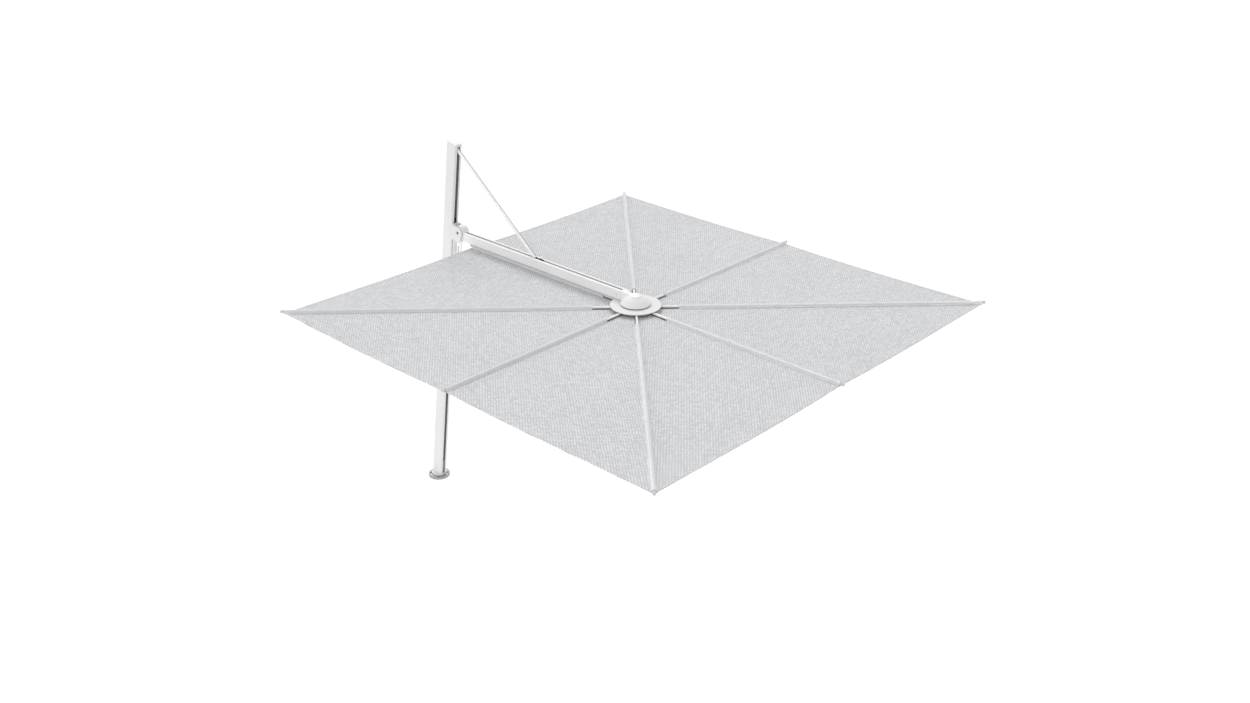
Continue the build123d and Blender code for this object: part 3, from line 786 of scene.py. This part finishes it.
def dome():
    """The casting at the arm's end: one skin from the arm's section to the dome's rim."""
    spread = 6 * MM
    skirt = cap_surface(DOME_RADIUS, DOME_RIM, DOME_TOP)
    skirt.insert(0, [p - Vector((0, 0, spread)) for p in skirt[0]])
    cap = loft("dome_cap_form", skirt, CASTING, "white_frame")
    neck = loft("dome_neck_form", neck_rings(), CASTING, "white_frame")
    whole = join("arm_dome_casting", [cap, neck])
    skin = whole.modifiers.new("skin", "REMESH")
    skin.mode, skin.voxel_size = "VOXEL", VOXEL
    apply_modifiers(whole)
    soften = whole.modifiers.new("soften", "SMOOTH")
    soften.factor, soften.iterations = 0.5, 40
    apply_modifiers(whole)
    reach = 0.4
    low, high = (HUB.x - reach, -reach, DOME_RIM - 0.1), (HUB.x + reach, reach, DOME_RIM)
    under = box_piece("under", low, high, CASTING, "white_frame")
    cut_with(whole, under)
    hollow = cap_surface(DOME_RADIUS - SHELL, DOME_RIM, DOME_TOP - SHELL)
    hollow.insert(0, [p - Vector((0, 0, spread)) for p in hollow[0]])
    cut_with(whole, loft("dome_hollow_form", hollow, CASTING, "white_frame"))
    crease(whole, 40)
    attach(whole, "arm")
    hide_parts("arm_dome")


CAP_RADIUS = 36 * MM


def crown_cap():
    """The smooth, nearly flat plug in the dome's crown, with a rounded rim."""
    rise = DOME_TOP - DOME_RIM
    ball = (DOME_RADIUS**2 + rise**2) / (2 * rise)
    edge = DOME_TOP - ball + sqrt(ball**2 - CAP_RADIUS**2)
    profile = [(0.1 * MM, edge - 1 * MM), (CAP_RADIUS, edge - 1 * MM), (CAP_RADIUS, edge + 4.6 * MM)]
    profile += [(CAP_RADIUS - 0.5 * MM, edge + 5.9 * MM), (CAP_RADIUS - 1.8 * MM, edge + 6.6 * MM)]
    for k in range(1, 9):
        share = 1 - k / 8
        height = edge + (6.6 + 0.8 * (1 - share**2)) * MM
        profile.append((max((CAP_RADIUS - 1.8 * MM) * share, 0.1 * MM), height))
    cap = turned("crown_cap", profile, (HUB.x, 0, 0), WHITE_PLASTIC, "white_plastic")
    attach(cap, "arm")
    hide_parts("dome_cap")


# ---------------------------------------------------------------- fittings on the arm and mast
def groove_pocket():
    """Black sheets lining the arm's groove just beyond the strut's foot, painted shade for the dark slot
    there, and a clip on the far lip.
    """
    start, end = STAY_FOOT_X + 21 * MM, STAY_FOOT_X + 66 * MM
    low, high = ARM_HIGH.z - 47.5 * MM, ARM_HIGH.z - 1.0 * MM
    wall = 9.6 * MM
    # Painted shade: the black sheets on the groove's walls and floor stand for the shade down in the slot.
    for side, name in ((-1, "near"), (1, "far")):
        inner, outer = sorted((side * wall, side * (wall + 0.35 * MM)))
        corners = (start, inner, low), (end, outer, high)
        shade_sheet = box_piece(f"groove_painted_shade_{name}", *corners, BLACK, "dark_plastic", 0.1 * MM, 1)
        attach(shade_sheet, "arm")
    shade_floor_sheet = box_piece(
        "groove_painted_shade_floor", (start, -wall, low), (end, wall, low + 1 * MM), BLACK, "dark_plastic", 0.3 * MM
    )
    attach(shade_floor_sheet, "arm")
    clip = box_piece(
        "groove_clip",
        (start - 6 * MM, 11.5 * MM, ARM_HIGH.z - 0.2 * MM),
        (start + 20 * MM, ARM_HIGH.y - 1.5 * MM, ARM_HIGH.z + 6 * MM),
        WHITE_PLASTIC,
        "white_plastic",
        1.6 * MM,
    )
    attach(clip, "arm")


STAY_FOOT_FROM = 0.93        # from the strut's pin, beyond which only its foot lies


def stay_strip():
    """A dark grey strip along the strut's upper face near its far edge, painted shade for the shaded line
    along that edge.
    """
    top = middle("stay_pin")
    ends = [v.co for v in frame["nodes"]["stay_bar"].data.vertices if (v.co - top).length > STAY_FOOT_FROM]
    foot = sum(ends, Vector()) / len(ends)
    along = (foot - top).normalized()
    up = Vector((-along.z, 0, along.x))
    rings = []
    for share, size in ((0.02, 0.4), (0.024, 1.0), (0.5, 1.0), (0.986, 1.0), (0.99, 0.4)):
        spot = top + (foot - top) * share + up * 9 * MM
        section = ((2.4, -0.5), (6.2, -0.5), (6.2, 0.5), (5.5, 0.9), (3.1, 0.9), (2.4, 0.5))
        rings.append([spot + Vector((0, y * MM, 0)) + up * (z * size * MM) for y, z in section])
    # Painted shade: the strip's dark grey stands for the shade along the strut's upper edge.
    strip = loft("stay_strip", rings, PAINTED_SHADE_GREY, "dark_plastic")
    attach(strip, "stay")


SOCKET_SHARE = 0.46          # out to the socket's corners, of the head's radius


def socket_screw(name, spot, axis, body, radius=4.5 * MM, finish=None):
    """A button-head screw with a hexagon socket."""
    axis = Vector(axis).normalized()
    turn = Vector((0, 0, 1)).rotation_difference(axis).to_matrix()
    centre, steps = Vector(spot), 36
    rings = []
    for r, h in ((1.0, 0.0), (1.0, 0.12), (0.93, 0.34), (0.76, 0.5), (0.56, 0.56)):
        rings.append(
            [
                centre + turn @ Vector((r * cos(2 * pi * k / steps), r * sin(2 * pi * k / steps), h)) * radius
                for k in range(steps)
            ]
        )
    for depth in (0.56, 0.12):
        ring = []
        for k in range(steps):
            angle = 2 * pi * k / steps
            flat = cos(pi / 6) / cos((angle % (pi / 3)) - pi / 6)
            across = SOCKET_SHARE * flat
            ring.append(centre + turn @ Vector((across * cos(angle), across * sin(angle), depth)) * radius)
        rings.append(ring)
    screw = loft(name, rings, finish or STEEL, "steel")
    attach(screw, body)
    return screw


def fasteners():
    """Screws that hold the castings, where such a frame has them."""
    for k in range(4):
        turn = pi / 4 + k * pi / 2
        spot = (HUB.x + 60 * MM * cos(turn), 60 * MM * sin(turn), DISC_TOP)
        screw = socket_screw(f"hub_screw_head_{k + 1}", spot, (0, 0, 1), "head", 6 * MM)
        if k == 0:
            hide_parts("hub_screws")
    for side in (-1, 1):
        name = "near" if side < 0 else "far"
        spot = Vector((ARM_HIGH.x - 36 * MM, side * ARM_HIGH.y, (ARM_LOW.z + ARM_HIGH.z) / 2))
        socket_screw(f"dome_screw_{name}", spot, (0, side, 0), "arm", 4 * MM)
        spot = UP_MAST * 85 * MM + Vector((0, side * 30 * MM, 0))
        socket_screw(f"foot_screw_{name}", spot, (0, side, 0), "mast", 4.5 * MM)
        pin_end = PIVOT + Vector((0, side * 32 * MM, 0))
        socket_screw(f"pivot_screw_{name}", pin_end, (0, side, 0), "carriage", 7 * MM, BLACK)


# ---------------------------------------------------------------- studio
def studio():
    size = 45.0
    floor_plane(size)

    world = bpy.data.worlds.new("studio")
    bpy.context.scene.world = world
    world.use_nodes = True
    nodes, links = world.node_tree.nodes, world.node_tree.links
    background = nodes["Background"]
    spot = nodes.new("ShaderNodeTexCoord")
    split = nodes.new("ShaderNodeSeparateXYZ")
    fade = nodes.new("ShaderNodeMapRange")
    fade.inputs["From Min"].default_value = 0.05
    fade.inputs["From Max"].default_value = 1.0
    fade.inputs["To Min"].default_value = 1.0
    fade.inputs["To Max"].default_value = 0.66
    links.new(spot.outputs["Generated"], split.inputs[0])
    links.new(split.outputs["Z"], fade.inputs["Value"])
    links.new(fade.outputs["Result"], background.inputs["Strength"])
    background.inputs["Color"].default_value = (1, 1, 1, 1)

    sun("soft_key", 1.15, 30, (0.62, -0.50, -0.85))
    sun("soft_fill", 0.55, 90, (0.10, 0.93, -0.36))


def sun(name, energy, spread, direction):
    """A soft lamp, far away, that shines in a direction."""
    lamp = bpy.data.lights.new(name, "SUN")
    lamp.energy, lamp.angle = energy, radians(spread)
    placed = bpy.data.objects.new(name, lamp)
    placed.rotation_mode = "QUATERNION"
    placed.rotation_quaternion = Vector(direction).to_track_quat("-Z", "Y")
    bpy.context.scene.collection.objects.link(placed)


def floor_plane(size):
    material = bpy.data.materials.new("pale_floor")
    material.use_nodes = True
    nodes, links = material.node_tree.nodes, material.node_tree.links
    nodes.clear()
    glow = nodes.new("ShaderNodeEmission")
    glow.inputs["Strength"].default_value = 0.9
    matt = nodes.new("ShaderNodeBsdfDiffuse")
    matt.inputs["Color"].default_value = (0.18, 0.18, 0.18, 1)
    both = nodes.new("ShaderNodeAddShader")
    out = nodes.new("ShaderNodeOutputMaterial")
    links.new(glow.outputs[0], both.inputs[0])
    links.new(matt.outputs[0], both.inputs[1])
    links.new(both.outputs[0], out.inputs["Surface"])
    mesh = bpy.data.meshes.new("floor")
    corners = [(-size, -size, 0), (size, -size, 0), (size, size, 0), (-size, size, 0)]
    mesh.from_pydata(corners, [], [(0, 1, 2, 3)])
    mesh.materials.append(material)
    ground = bpy.data.objects.new("floor", mesh)
    bpy.context.scene.collection.objects.link(ground)
    return ground


def camera():
    """The eye stands in front of the canopy's right-hand side, about five metres up."""
    data = bpy.data.cameras.new("eye")
    data.lens, data.sensor_width = 37.88, 36.0
    data.clip_start, data.clip_end = 0.1, 200.0
    eye = bpy.data.objects.new("eye", data)
    eye.location = (6.995, -5.385, 5.240)
    look = Vector((-0.6158, 0.6580, -0.4335))
    eye.rotation_mode = "QUATERNION"
    eye.rotation_quaternion = look.to_track_quat("-Z", "Y")
    bpy.context.scene.collection.objects.link(eye)
    bpy.context.scene.camera = eye
    bpy.context.scene.view_settings.view_transform = "Standard"


camera()
studio()
dress_cad_nodes()
canopy()
dome()
crown_cap()
groove_pocket()
stay_strip()
fasteners()
